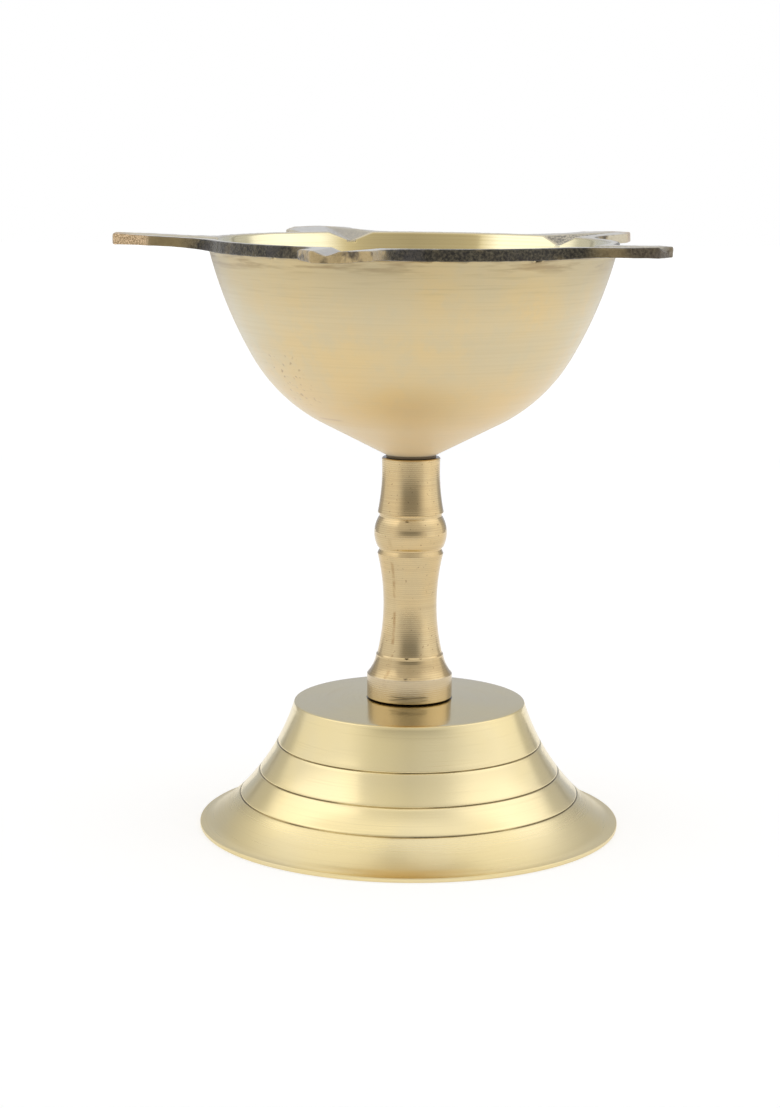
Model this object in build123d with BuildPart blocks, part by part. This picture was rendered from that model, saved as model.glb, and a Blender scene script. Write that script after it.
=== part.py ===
from build123d import *
import math
import os

# A five-spouted brass oil lamp in three screwed sections: a cast bowl, a turned stem and a hollow base.
# Millimetres, +Z up. The origin is on the lamp's axis, in the plane that the base stands on.

# Base: a concave bell that flares out to a thin lip
base_radius = 46.0
base_lip_height = 0.95
base_lip_round = 0.4
flare_width = 8.8
flare_height = 7.05
bell_width = 11.95
base_top_height = 27.4
base_top_steepness = 73.0
base_seat_margin = 0.4
base_crown = 0.7
base_wall = 2.2
base_plate_thickness = 3.4

# Turned rings on the base, each placed by its share of the bell from the top edge down to the flare
ring_places = (0.408, 0.723, 1.0)
ring_width = 0.5
ring_depth = 0.4

# Stem: the heights of its turned members, from the base up, and their radii
collar_radius = 9.3
collar_height = 5.5
collar_chamfer = 0.45
cone_radius = 7.35
cone_height = 4.0
cone_hollow = 0.3
step_height = 0.7
waist_end_radius = 7.05
waist_radius = 5.82
waist_height = 22.0
waist_lip_radius = 7.18
neck_radius = 6.8
neck_bevel = 0.9
lower_neck_width = 0.5
bead_foot_radius = 7.15
bead_radius = 7.9
bead_height = 6.8
upper_neck_width = 0.7
cup_lip_radius = 7.2
cup_middle_radius = 6.4
cup_radius = 6.35
cup_height = 12.1
cup_chamfer = 0.25

# Bowl: a cone that turns up into a deep curved wall
bowl_height = 46.3
boss_radius = 5.4
boss_height = 0.5
bowl_cone_slope = 27.0
bowl_cone_radius = 19.3
bowl_belly_radius = 34.2
bowl_belly_height = 21.7
bowl_mouth_radius = 43.3
bowl_wall = 2.0
bowl_floor_thickness = 2.1
bowl_floor_round = 20.0

# Rim flange and its spouts. Each spout was bent up and filed by hand, so lifts and noses differ.
flange_overhang = 0.6
flange_thickness = 2.4
flange_round = 0.35
spout_directions = (38.0, 113.5, 182.0, 254.0, 326.0)
spout_lifts = (2.2, 1.6, 2.6, 0.4, 1.3)
spout_width = 15.0
spout_root_round = 9.0
spout_straight = 5.5
spout_noses = (5.1, 7.0, 7.8, 6.2, 4.9)
spout_tip_width = 6.0
spout_corner_round = 1.2
spout_arch_depth = 0.45

# Wick trough along each spout, deepest where it opens into the bowl, and one of them cut askew
trough_width = 9.4
trough_depth = 1.8
trough_floor_round = 1.6
trough_rise = 2.5
trough_skews = (0.0, -4.0, 0.0, 0.0, 0.0)

# Threaded joints: one size of stud, with its nut and washer under the base
stud_radius = 3.0
stud_chamfer = 0.5
thread_clearance = 0.05
stud_hole_clearance = 0.3
socket_end_gap = 0.5
stem_thread_length = 9.0
bowl_thread_length = 6.5
boss_thread_length = 4.2
stud_tail = 1.5
washer_radius = 6.0
washer_thickness = 1.6
washer_chamfer = 0.2
nut_flats = 10.0
nut_height = 5.0
nut_chamfer_angle = 30.0

# Radii that follow from the sizes above
flare_radius = base_radius - flare_width
base_top_radius = flare_radius - bell_width
base_seat_radius = collar_radius + base_seat_margin
thread_bore = stud_radius + thread_clearance
stud_hole = stud_radius + stud_hole_clearance
flange_radius = bowl_mouth_radius + flange_overhang
spout_root_centre = spout_width / 2 + spout_root_round
spout_root_end = math.sqrt((flange_radius + spout_root_round) ** 2 - spout_root_centre**2)
spout_shoulder = spout_root_end + spout_straight
spout_reach = spout_shoulder + max(spout_noses)
spout_bend = flange_radius * spout_root_end / (flange_radius + spout_root_round)

# Heights along the axis that follow from the sizes above
base_seat = base_top_height + base_crown
base_plate_bottom = base_seat - base_plate_thickness
collar_top = base_seat + collar_height
cone_top = collar_top + cone_height
waist_bottom = cone_top + step_height
waist_top = waist_bottom + waist_height
bead_bottom = waist_top + neck_bevel + lower_neck_width
bead_top = bead_bottom + bead_height
cup_bottom = bead_top + upper_neck_width
stem_top = cup_bottom + cup_height
rim_top = stem_top + bowl_height
flange_bottom = rim_top - flange_thickness
boss_hole_end = stem_top + boss_thread_length + socket_end_gap
bowl_floor = boss_hole_end + bowl_floor_thickness
washer_bottom = base_plate_bottom - washer_thickness
nut_bottom = washer_bottom - nut_height
stud_bottom = nut_bottom - stud_tail


def disc(height, radius):
    """A circle on a level plane, to be extruded or cut."""
    with BuildSketch(Plane.XY.offset(height)) as sketch:
        Circle(radius)
    return sketch.sketch


def toward(angle):
    """The unit vector that leans up from the horizontal by an angle in degrees."""
    return math.cos(math.radians(angle)), math.sin(math.radians(angle))


def upright(direction):
    """The plane through the axis whose own X points out in a direction round it, and whose own Y is up."""
    across, away = toward(direction)
    return Plane(origin=(0, 0, 0), x_dir=(across, away, 0), z_dir=(away, -across, 0))


# Base: the solid bell with its rings, then the hollow under its top plate and the hole for the stud
with BuildPart() as base:
    with BuildSketch(Plane.XZ):
        with BuildLine():
            bell = TangentArc(
                (base_top_radius, base_top_height),
                (flare_radius, flare_height),
                tangent=toward(-base_top_steepness),
            )
            flare = TangentArc(bell @ 1, (base_radius, base_lip_height), tangent=bell % 1)
            Polyline(
                flare @ 1, (base_radius, 0), (0, 0), (0, base_seat), (base_seat_radius, base_seat), bell @ 0
            )
        section = make_face()
        fillet(section.vertices().sort_by(Axis.X)[-2:], base_lip_round)
        for place in ring_places:
            middle = bell @ place
            along = bell % place
            across = along.rotate(Axis.Z, -90)
            with BuildLine():
                Polyline(
                    middle - along * ring_width / 2 - across * ring_depth / 2,
                    middle + across * ring_depth,
                    middle + along * ring_width / 2 - across * ring_depth / 2,
                    close=True,
                )
            make_face(mode=Mode.SUBTRACT)
    revolve(axis=Axis.Z)
    with BuildSketch(Plane.XZ):
        with BuildLine():
            inside = offset([bell, flare], amount=base_wall, side=Side.RIGHT, closed=False, mode=Mode.ADD)
            ends = inside.vertices().sort_by(Axis.Y)
            Polyline(
                (ends[-1].X, ends[-1].Y), (0, ends[-1].Y), (0, ends[0].Y), (ends[0].X, ends[0].Y)
            )
        make_face()
        with Locations((0, base_plate_bottom)):
            Rectangle(2 * base_radius, base_radius, align=(Align.CENTER, Align.MIN), mode=Mode.SUBTRACT)
    revolve(axis=Axis.Z, mode=Mode.SUBTRACT)
    extrude(disc(base_plate_bottom, stud_hole), amount=base_plate_thickness, mode=Mode.SUBTRACT)
base.part.label = "base"

# Washer and hexagon nut that hold the lower stud under the base's top plate
with BuildPart() as base_washer:
    extrude(disc(washer_bottom, washer_radius), amount=washer_thickness)
    chamfer(base_washer.edges(), washer_chamfer)
    extrude(disc(washer_bottom, stud_hole), amount=washer_thickness, mode=Mode.SUBTRACT)
base_washer.part.label = "base_washer"

with BuildPart() as base_nut:
    with BuildSketch(Plane.XY.offset(nut_bottom)):
        RegularPolygon(nut_flats / 2, 6, major_radius=False)
    extrude(amount=nut_height)
    with BuildSketch(Plane.XZ):
        corner_radius = nut_flats / 2 / math.cos(math.pi / 6)
        corner_drop = (corner_radius - nut_flats / 2) * math.tan(math.radians(nut_chamfer_angle))
        with BuildLine():
            Polyline(
                (0, nut_bottom),
                (nut_flats / 2, nut_bottom),
                (corner_radius, nut_bottom + corner_drop),
                (corner_radius, washer_bottom - corner_drop),
                (nut_flats / 2, washer_bottom),
                (0, washer_bottom),
                close=True,
            )
        make_face()
    revolve(axis=Axis.Z, mode=Mode.INTERSECT)
    extrude(disc(nut_bottom, thread_bore), amount=nut_height, mode=Mode.SUBTRACT)
base_nut.part.label = "base_nut"

# Lower stud: held in the stem, and screwed down through the base into the nut
with BuildPart() as base_stud:
    extrude(disc(stud_bottom, stud_radius), amount=base_seat + stem_thread_length - stud_bottom)
    chamfer(base_stud.edges().filter_by(GeomType.CIRCLE), stud_chamfer)
base_stud.part.label = "base_stud"

# Stem: one turned profile, bored at both ends for the studs
with BuildPart() as stem:
    with BuildSketch(Plane.XZ):
        with BuildLine():
            foot = Polyline(
                (0, base_seat),
                (collar_radius - collar_chamfer, base_seat),
                (collar_radius, base_seat + collar_chamfer),
                (collar_radius, collar_top),
            )
            cone = SagittaArc(foot @ 1, (cone_radius, cone_top), cone_hollow)
            step = Line(cone @ 1, (waist_end_radius, waist_bottom))
            waist = ThreePointArc(
                step @ 1, (waist_radius, (waist_bottom + waist_top) / 2), (waist_lip_radius, waist_top)
            )
            lower_neck = Polyline(
                waist @ 1,
                (neck_radius, waist_top + neck_bevel),
                (neck_radius, bead_bottom),
                (bead_foot_radius, bead_bottom),
            )
            bead = ThreePointArc(
                lower_neck @ 1, (bead_radius, (bead_bottom + bead_top) / 2), (neck_radius, bead_top)
            )
            upper_neck = Polyline(bead @ 1, (neck_radius, cup_bottom), (cup_lip_radius, cup_bottom))
            cup = ThreePointArc(
                upper_neck @ 1,
                (cup_middle_radius, (cup_bottom + stem_top) / 2),
                (cup_radius, stem_top - cup_chamfer),
            )
            Polyline(cup @ 1, (cup_radius - cup_chamfer, stem_top), (0, stem_top), foot @ 0)
        make_face()
    revolve(axis=Axis.Z)
    extrude(disc(base_seat, thread_bore), amount=stem_thread_length + socket_end_gap, mode=Mode.SUBTRACT)
    extrude(disc(stem_top, thread_bore), amount=-bowl_thread_length - socket_end_gap, mode=Mode.SUBTRACT)
stem.part.label = "stem"

# Upper stud: held in the bowl's boss, and screwed into the stem
with BuildPart() as bowl_stud:
    extrude(disc(stem_top - bowl_thread_length, stud_radius), amount=bowl_thread_length + boss_thread_length)
    chamfer(bowl_stud.edges().filter_by(GeomType.CIRCLE), stud_chamfer)
bowl_stud.part.label = "bowl_stud"

# Wick trough: a shallow rounded V along +X, whose floor climbs towards the tip
with BuildPart() as wick_trough:
    lean = toward(trough_rise)
    trough_plane = Plane(
        origin=(flange_radius, 0, rim_top - trough_depth), x_dir=(0, 1, 0), z_dir=(lean[0], 0, lean[1])
    )
    with BuildSketch(trough_plane) as trough_section:
        with BuildLine():
            Polyline((-trough_width, 2 * trough_depth), (0, 0), (trough_width, 2 * trough_depth), close=True)
        make_face()
        fillet(trough_section.vertices().sort_by(Axis.Y)[0], trough_floor_round)
    extrude(amount=spout_reach - flange_radius / 2, both=True)

# Cast rim: a level flange that bends up into each spout, trimmed to one outline
with BuildPart() as rim:
    extrude(disc(flange_bottom, flange_radius), amount=flange_thickness)
    for direction, lift in zip(spout_directions, spout_lifts):
        rise = (spout_reach - spout_bend) * math.tan(math.radians(lift))
        with BuildSketch(upright(direction)):
            with Locations((spout_bend, flange_bottom)):
                Rectangle(spout_reach, flange_thickness, align=Align.MIN)
        extrude(amount=spout_root_centre, both=True, mode=Mode.SUBTRACT)
        with BuildSketch(upright(direction)):
            with BuildLine():
                arch = SagittaArc(
                    (spout_bend, flange_bottom), (spout_reach, flange_bottom + rise), spout_arch_depth
                )
                Polyline(arch @ 1, (spout_reach, rim_top + rise), (spout_bend, rim_top), arch @ 0)
            make_face()
        extrude(amount=spout_root_centre, both=True)
    with BuildSketch(Plane.XY.offset(flange_bottom)) as rim_outline:
        Circle(flange_radius)
        for direction, nose in zip(spout_directions, spout_noses):
            with Locations(Location((0, 0, 0), (0, 0, direction))):
                Polygon(
                    (0, -spout_width / 2),
                    (spout_shoulder, -spout_width / 2),
                    (spout_shoulder + nose, -spout_tip_width / 2),
                    (spout_shoulder + nose, spout_tip_width / 2),
                    (spout_shoulder, spout_width / 2),
                    (0, spout_width / 2),
                    align=None,
                )
        outward = rim_outline.vertices().group_by(lambda v: round(math.hypot(v.X, v.Y), 2))
        fillet(outward[0], spout_root_round)
        tips = rim_outline.vertices().filter_by(lambda v: math.hypot(v.X, v.Y) > spout_shoulder)
        fillet(tips, spout_corner_round)
    extrude(amount=spout_reach, both=True, mode=Mode.INTERSECT)
    upper = rim.faces().filter_by(lambda f: f.normal_at().Z > 0.5).edges()
    outer = upper.filter_by(lambda e: math.hypot(e.center().X, e.center().Y) > bowl_mouth_radius)
    fillet(outer, flange_round)

# Bowl: the turned outside, the cast rim with its spouts, then the hollow, the troughs and the stud's hole
with BuildPart() as bowl:
    with BuildSketch(Plane.XZ):
        with BuildLine():
            cone_rise = (bowl_cone_radius - boss_radius) * math.tan(math.radians(bowl_cone_slope))
            underside = Line(
                (boss_radius, stem_top + boss_height), (bowl_cone_radius, stem_top + boss_height + cone_rise)
            )
            belly = TangentArc(
                underside @ 1, (bowl_belly_radius, stem_top + bowl_belly_height), tangent=underside % 1
            )
            wall = TangentArc(belly @ 1, (bowl_mouth_radius, flange_bottom), tangent=belly % 1)
            Polyline(
                wall @ 1,
                (bowl_mouth_radius, rim_top),
                (0, rim_top),
                (0, stem_top),
                (boss_radius, stem_top),
                underside @ 0,
            )
        make_face()
    revolve(axis=Axis.Z)
    add(rim.part)
    with BuildSketch(Plane.XZ) as bowl_hollow:
        with BuildLine():
            inside = offset(
                [underside, belly, wall], amount=bowl_wall, side=Side.LEFT, closed=False, mode=Mode.ADD
            )
            ends = inside.vertices().sort_by(Axis.Y)
            mouth = Line(ends[-1], Vector(ends[-1]) + (wall % 1) * 2 * flange_thickness)
            Polyline(mouth @ 1, (0, (mouth @ 1).Y), (0, ends[0].Y), (ends[0].X, ends[0].Y))
        make_face()
        with Locations((0, bowl_floor)):
            Rectangle(2 * flange_radius, bowl_height, align=(Align.CENTER, Align.MAX), mode=Mode.SUBTRACT)
        fillet(bowl_hollow.vertices().group_by(Axis.Y)[0].sort_by(Axis.X)[-1], bowl_floor_round)
    revolve(axis=Axis.Z, mode=Mode.SUBTRACT)
    for direction, lift, skew in zip(spout_directions, spout_lifts, trough_skews):
        bent = wick_trough.part.rotate(Axis((spout_bend, 0, rim_top), (0, 1, 0)), -lift)
        add(bent.rotate(Axis.Z, direction + skew), mode=Mode.SUBTRACT)
    extrude(disc(stem_top, thread_bore), amount=boss_hole_end - stem_top, mode=Mode.SUBTRACT)
bowl.part.label = "bowl"

os.makedirs("parts", exist_ok=True)
for piece in (base, base_washer, base_nut, base_stud, stem, bowl_stud, bowl):
    export_step(piece.part, f"parts/{piece.part.label}.step")
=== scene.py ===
import math
from collections import namedtuple

import bpy
import numpy as np
from mathutils import Matrix, Vector, noise


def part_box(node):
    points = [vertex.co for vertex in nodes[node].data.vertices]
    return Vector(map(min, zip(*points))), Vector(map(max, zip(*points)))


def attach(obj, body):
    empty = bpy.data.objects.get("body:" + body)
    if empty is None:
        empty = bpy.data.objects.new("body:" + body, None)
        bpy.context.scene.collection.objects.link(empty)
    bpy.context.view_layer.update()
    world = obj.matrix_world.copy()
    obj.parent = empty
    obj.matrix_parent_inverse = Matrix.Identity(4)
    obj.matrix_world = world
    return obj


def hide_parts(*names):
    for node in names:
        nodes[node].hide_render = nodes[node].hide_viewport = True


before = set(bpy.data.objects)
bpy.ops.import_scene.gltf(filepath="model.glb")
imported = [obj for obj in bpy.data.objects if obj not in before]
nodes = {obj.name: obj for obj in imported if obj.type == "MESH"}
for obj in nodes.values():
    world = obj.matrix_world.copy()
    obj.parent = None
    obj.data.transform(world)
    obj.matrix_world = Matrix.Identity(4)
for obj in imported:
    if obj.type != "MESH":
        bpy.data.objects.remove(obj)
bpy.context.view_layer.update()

# Sizes are in millimetres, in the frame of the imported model: +Z up along the lamp's axis, the viewer
# on the -Y side. Meshes are worked out in millimetres and scaled to metres where they are made.
MM = 0.001


def heights(node):
    """The lowest and the highest point of a node of the model, in millimetres."""
    low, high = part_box(node)
    return low.z / MM, high.z / MM


# Camera
CAMERA_PLACE = (-4.44, -516.16, 148.42)
CAMERA_DIP = 0.1698
CAMERA_ROLL = 0.0063
IMAGE_HEIGHT = 1108
FOCAL_PIXELS = 2405.88
SENSOR = 36.0

# Base
BASE_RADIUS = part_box("base")[1].x / MM
BASE_SEAT = heights("base")[1]
BASE_SEAT_RADIUS = 9.7
BASE_TOP = (25.25, 27.4)
BASE_STEEPNESS = 73.0
BASE_FLARE = (37.2, 7.05)
BASE_FLARE_END = (43.2, 1.95)
BASE_LIP = (BASE_RADIUS, 0.95)
BASE_WALL = 2.2
BASE_PLATE_UNDER = BASE_SEAT - 3.4
BASE_RIM_INSIDE = 42.8
STUD_HOLE = 3.3
RING_PLACES = (0.408, 0.723, 1.0)
RING_HALF_WIDTH = 0.19
RING_DEPTH = 0.34
BASE_EDGE_ROUND = 0.36

# Stem: heights of its turned members, from its foot up, and their radii
STEM_FOOT, STEM_TOP = heights("stem")
COLLAR_RADIUS = 9.3
COLLAR_CHAMFER = 0.45
COLLAR_TOP = STEM_FOOT + 5.5
CONE_TOP = COLLAR_TOP + 4.0
CONE_TOP_RADIUS = 7.35
CONE_TOP_LAND = 0.35
CONE_MIDDLE = (8.06, COLLAR_TOP + 1.87)
WAIST_BOTTOM = CONE_TOP + 0.7
WAIST_TOP = WAIST_BOTTOM + 22.0
WAIST_RADII = (7.05, 5.82, 7.18)
NECK_RADIUS = 6.8
BEAD_BOTTOM = WAIST_TOP + 1.4
BEAD_TOP = BEAD_BOTTOM + 6.8
BEAD_RADII = (7.15, 7.9, NECK_RADIUS)
CUP_BOTTOM = BEAD_TOP + 0.7
CUP_RADII = (7.2, 6.4, 6.35)
CUP_CHAMFER = 0.25
NECK_BEVEL = 0.9
FEED_RING = 0.44
THREAD_BORE = 3.05
FOOT_BORE = 9.5
CUP_BORE = 7.0
STEM_EDGE_ROUND = 0.16

# Bowl
BOSS_RADIUS = 5.4
BOSS_TOP = STEM_TOP + 0.5
BOSS_BORE = 4.7
CONE_SLOPE = math.radians(27.0)
CONE_RADIUS = 19.3
CONE_END = (CONE_RADIUS, BOSS_TOP + (CONE_RADIUS - BOSS_RADIUS) * math.tan(CONE_SLOPE))
BELLY = (34.2, STEM_TOP + 21.7)
MOUTH_RADIUS = 43.3
RIM_TOP = STEM_TOP + 46.3
RIM_BOTTOM = RIM_TOP - 2.4
BOWL_WALL = 2.0
BOWL_FLOOR = STEM_TOP + 6.8
FLOOR_BLEND = 2.3

# Rim and spouts. Angles are in degrees, and roll is a slope across the spout. The rise is the trough
# floor's. Filed, worn and ground say how far a spout's nose is filed, its sides are worn smooth and its
# whole edge is ground pale. A rounded edge runs EDGE_MIDDLE of its radius inside both of its faces.
FLANGE_RADIUS = 43.9
Spout = namedtuple("Spout", "direction lift roll nose skew rise filed worn ground")
SPOUTS = (
    Spout(38.0, 2.2, 0.0, 5.1, 0.0, 6.0, 0.8, 0.0, 0.9),
    Spout(113.5, 1.4, -0.03, 7.0, -4.0, 6.0, 0.3, 0.0, 0.95),
    Spout(182.0, 2.6, 0.0, 7.8, 0.0, 2.5, 1.0, 0.8, 0.0),
    Spout(254.0, 0.4, 0.0, 6.2, 0.0, 2.5, 0.1, 0.2, 0.7),
    Spout(326.0, 1.3, 0.0, 4.9, 0.0, 2.5, 0.1, 0.5, 0.0),
)
SPOUT_HALF_WIDTH = 7.5
SPOUT_TIP_HALF_WIDTH = 3.0
SPOUT_CORNER = 1.2
WORN_BACK = 4.0
ROOT_ROUND = 9.0
ROOT_CENTRE = SPOUT_HALF_WIDTH + ROOT_ROUND
ROOT_END = math.sqrt((FLANGE_RADIUS + ROOT_ROUND) ** 2 - ROOT_CENTRE**2)
ROOT_ANGLE = math.asin(ROOT_CENTRE / (FLANGE_RADIUS + ROOT_ROUND))
SPOUT_BEND = FLANGE_RADIUS * math.cos(ROOT_ANGLE)
SHOULDER = ROOT_END + 5.5
SPOUT_REACH = SHOULDER + max(spout.nose for spout in SPOUTS)
ARCH_DEPTH = 0.45
TROUGH_DEPTH = 1.8
TROUGH_SLOPE = 0.383
TROUGH_ROUND = 0.11
TROUGH_FADE = 0.4
OUTLINE_STEP = 0.55
RIM_ROUND_TOP = 0.35
RIM_ROUND_BOTTOM = 0.25
EDGE_MIDDLE = 0.3
RIM_LEAN = (-0.0035, 0.0025)

# Rows of points over the rim and the bowl's inside, whose cone has a ring at each whole millimetre
UNDERSIDE_ROWS = 9
EDGE_ROWS = 6
TOP_ROWS = 20
LIP_ROWS = 7
INNER_CONE_RINGS = 17

# The casting's unevenness: its size, the weight and the scale of each noise in it, and how it sinks.
# The cast skin fades out CAST_FADE times faster than the rim's top runs inward.
CAST_ROUGHNESS = 0.09
CAST_NOISES = ((1.0, 0.9), (0.8, 0.3), (0.5, 2.1))
CAST_SINK = 0.5
CAST_SINK_SCALE = 0.7
CAST_SINK_SHIFT = Vector((31, 7, 5))
CAST_FADE = 6

# Threads
THREAD_PITCH = 1.0
THREAD_DEPTH = 0.61
THREAD_STEEPNESS = 2.5
THREAD_CREST = 0.12
THREAD_ROWS = 12
THREAD_COLUMNS = 48

# Places of wear, and of painted shade and reflection. Azimuths are in radians from the viewer, to the
# right.
BASE_DULL_HEIGHTS = (4.0, 9.0)
STREAK_AZIMUTH = -0.62
STREAK_HEIGHT = 46.0
SCUFF_AZIMUTH = -0.05
SCUFF_HEIGHT = STEM_FOOT + 1.4
PITS_AZIMUTH = -0.95
PITS_HEIGHT = 99.0
SCRATCH_AZIMUTH = -0.85
SCRATCH_HEIGHT = 91.0
PATINA_AND_SHEEN_AZIMUTHS = (0.6, 1.3)
BACK_SHADE_AZIMUTHS = (2.60, 2.80)
SPECKS_ACROSS = (-10.0, 20.0)


class Bend:
    """A circular arc that leaves a point in a direction and goes on to another point."""

    def __init__(self, start, heading, end):
        across = end[0] - start[0]
        up = end[1] - start[1]
        self.first = heading
        self.turn = math.remainder(2 * (math.atan2(up, across) - heading), math.tau)
        self.radius = math.hypot(across, up) / (2 * math.sin(self.turn / 2))
        self.centre = (
            start[0] - self.radius * math.sin(heading),
            start[1] + self.radius * math.cos(heading),
        )
        self.length = abs(self.radius * self.turn)

    def heading(self, share):
        return self.first + self.turn * share

    def at(self, share, left=0.0):
        """The point at a share of the arc, or that far to its left."""
        heading = self.heading(share)
        radius = self.radius - left
        return self.centre[0] + radius * math.sin(heading), self.centre[1] - radius * math.cos(heading)

    def points(self, first=0.0, last=1.0, left=0.0, step=0.8):
        count = max(2, math.ceil(self.length * abs(last - first) / step))
        return [self.at(first + (last - first) * i / count, left) for i in range(count + 1)]


def through(start, middle, end, count=28):
    """Points along the circle through three points."""
    first = math.atan2(middle[1] - start[1], middle[0] - start[0])
    chord = math.atan2(end[1] - start[1], end[0] - start[0])
    last = math.atan2(end[1] - middle[1], end[0] - middle[0])
    bend = Bend(start, chord + first - last, end)
    return [bend.at(i / count) for i in range(count + 1)]


def softened(points, radius, sharpest=0.2):
    """The same line with each corner rounded a little."""
    result = [points[0]]
    for before, corner, after in zip(points, points[1:], points[2:]):
        back = Vector(before) - Vector(corner)
        ahead = Vector(after) - Vector(corner)
        turn = math.pi - back.angle(ahead)
        if turn < sharpest:
            result.append(corner)
            continue
        reach = min(radius * math.tan(turn / 2), 0.45 * back.length, 0.45 * ahead.length)
        start = Vector(corner) + back.normalized() * reach
        end = Vector(corner) + ahead.normalized() * reach
        for t in (0.0, 0.25, 0.5, 0.75, 1.0):
            result.append(tuple(start * (1 - t) ** 2 + Vector(corner) * 2 * t * (1 - t) + end * t * t))
    result.append(points[-1])
    return result


def spaced(points, step):
    """The same line with points added, so that no stretch is longer than step."""
    result = [points[0]]
    for (ax, ay), (bx, by) in zip(points, points[1:]):
        count = max(1, math.ceil(math.hypot(bx - ax, by - ay) / step))
        result += [(ax + (bx - ax) * i / count, ay + (by - ay) * i / count) for i in range(1, count + 1)]
    return result


def skin(name, rows, zones, loop=False):
    """A mesh over rows of points round the axis. A row of one point is a pole."""
    starts = np.cumsum([0] + [len(row) for row in rows])
    pairs = list(zip(range(len(rows) - 1), range(1, len(rows))))
    if loop:
        pairs.append((len(rows) - 1, 0))
    faces = []
    for a, b in pairs:
        count = max(len(rows[a]), len(rows[b]))
        for i in range(count):
            j = (i + 1) % count
            face = [starts[a] + i, starts[a] + j] if len(rows[a]) > 1 else [starts[a]]
            face += [starts[b] + j, starts[b] + i] if len(rows[b]) > 1 else [starts[b]]
            faces.append(face)
    mesh = bpy.data.meshes.new(name)
    mesh.from_pydata((np.concatenate(rows) * MM).tolist(), [], faces)
    mesh.shade_smooth()
    for zone, values in zones.items():
        layer = mesh.attributes.new(zone, "FLOAT", "POINT")
        layer.data.foreach_set("value", np.concatenate(values).astype(np.float32))
    piece = bpy.data.objects.new(name, mesh)
    bpy.context.scene.collection.objects.link(piece)
    return piece


def turned(profile, columns=256):
    """Rows of points that turn a profile round the axis."""
    angle = np.arange(columns) * math.tau / columns
    rows = []
    for radius, height in profile:
        if radius > 0:
            rows.append(np.stack((radius * np.cos(angle), radius * np.sin(angle), 0 * angle + height), 1))
        else:
            rows.append(np.array([[0.0, 0.0, height]]))
    return rows


def level(rows, value):
    """One zone value for every point of some rows."""
    return [np.full(len(row), float(value)) for row in rows]


def stand_in(piece, node, body, material):
    """Puts a modelled piece in the place of a node."""
    piece.data.materials.append(material)
    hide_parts(node)
    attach(piece, body)


def base_piece():
    """The hollow base with its incised rings, and the hole for the stud in its top."""
    bell = Bend(BASE_TOP, -math.radians(BASE_STEEPNESS), BASE_FLARE)
    flare = Bend(BASE_FLARE, bell.heading(1), BASE_FLARE_END)
    lip = Bend(BASE_FLARE_END, flare.heading(1), BASE_LIP)
    half = RING_HALF_WIDTH / bell.length
    outside = [(STUD_HOLE, BASE_PLATE_UNDER), (STUD_HOLE, BASE_SEAT), (BASE_SEAT_RADIUS, BASE_SEAT)]
    reached = 0.0
    for place in RING_PLACES:
        outside += bell.points(reached, place - half)
        outside.append(bell.at(place, -RING_DEPTH))
        reached = place + half
    outside += flare.points(RING_HALF_WIDTH / flare.length, 1) + lip.points(0, 1, step=0.4)[1:]
    outside += [(BASE_RADIUS, 0), (BASE_RIM_INSIDE, 0)]
    inside = flare.points(1, 0, -BASE_WALL) + bell.points(1, 0, -BASE_WALL)[1:]
    inside = [p for p in inside if 0 < p[1] < BASE_PLATE_UNDER]
    plate_corner = (inside[-1][0], BASE_PLATE_UNDER)
    inside = [(BASE_RIM_INSIDE, 0), *inside, plate_corner, (STUD_HOLE, BASE_PLATE_UNDER)]
    shown = turned(spaced(softened(outside, BASE_EDGE_ROUND), 1.2)[::-1])
    hidden = turned(spaced(softened(inside, BASE_EDGE_ROUND), 1.5)[::-1])[1:-1]
    return skin("base_turned", shown + hidden, {"hollow": level(shown, 0) + level(hidden, 1)}, loop=True)


def stem_piece():
    """The stem: collar, cone, waist, bead and cup, bored at both ends."""
    waist_middle = (WAIST_RADII[1], (WAIST_BOTTOM + WAIST_TOP) / 2)
    bead_middle = (BEAD_RADII[1], (BEAD_BOTTOM + BEAD_TOP) / 2)
    cup_middle = (CUP_RADII[1], (CUP_BOTTOM + STEM_TOP) / 2)
    outside = [
        (THREAD_BORE, STEM_FOOT + FOOT_BORE),
        (THREAD_BORE, STEM_FOOT),
        (COLLAR_RADIUS - COLLAR_CHAMFER, STEM_FOOT),
        (COLLAR_RADIUS, STEM_FOOT + COLLAR_CHAMFER),
        *through((COLLAR_RADIUS, COLLAR_TOP), CONE_MIDDLE, (CONE_TOP_RADIUS, CONE_TOP), 8),
        (CONE_TOP_RADIUS, CONE_TOP + CONE_TOP_LAND),
        *through((WAIST_RADII[0], WAIST_BOTTOM), waist_middle, (WAIST_RADII[2], WAIST_TOP)),
        (NECK_RADIUS, WAIST_TOP + NECK_BEVEL),
        (NECK_RADIUS, BEAD_BOTTOM),
        *through((BEAD_RADII[0], BEAD_BOTTOM), bead_middle, (BEAD_RADII[2], BEAD_TOP)),
        (NECK_RADIUS, CUP_BOTTOM),
        *through((CUP_RADII[0], CUP_BOTTOM), cup_middle, (CUP_RADII[2], STEM_TOP - CUP_CHAMFER)),
        (CUP_RADII[2] - CUP_CHAMFER, STEM_TOP),
        (THREAD_BORE, STEM_TOP),
        (THREAD_BORE, STEM_TOP - CUP_BORE),
    ]
    profile = spaced(softened(outside, STEM_EDGE_ROUND), 0.8)
    profile = [(0, STEM_FOOT + FOOT_BORE), *profile, (0, STEM_TOP - CUP_BORE)]
    return skin("stem_turned", turned(profile, 192), {})


def rotated(x, y, turn):
    """A point turned about the axis."""
    return x * math.cos(turn) - y * math.sin(turn), x * math.sin(turn) + y * math.cos(turn)


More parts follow.
